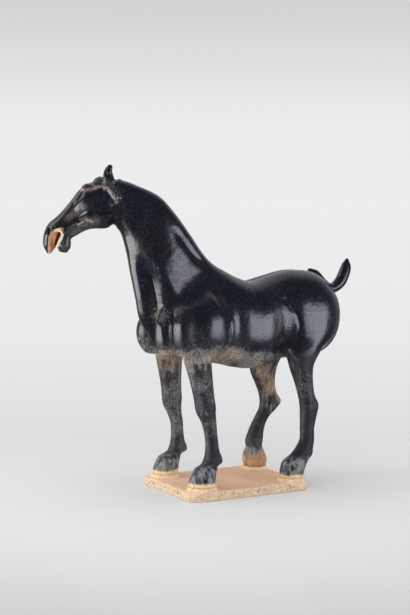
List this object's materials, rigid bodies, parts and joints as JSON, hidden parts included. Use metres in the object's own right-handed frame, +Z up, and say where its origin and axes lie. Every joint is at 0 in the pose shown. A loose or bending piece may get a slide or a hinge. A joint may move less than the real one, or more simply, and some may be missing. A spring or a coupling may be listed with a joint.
{
  "type": "glazed terracotta horse figure",
  "caption": "Standing horse figure in dark glazed pottery, head turned to its right with open mouth, on a flat bare clay slab.",
  "frame": {"origin": "centre of the slab's underside", "axes": "+Z up, the horse looks along -Y with its left side towards +X"},
  "size_m": [0.21, 0.642, 0.6225],
  "materials": {
    "dark_glaze": "glossy blue-black glaze, thin and worn on the chest, belly and legs",
    "bare_clay": "matte unglazed pinkish buff clay, pitted on its edges"
  },
  "bodies": {
    "root": {"horse": "dark_glaze", "base_slab": "bare_clay"}
  },
  "joints": []
}
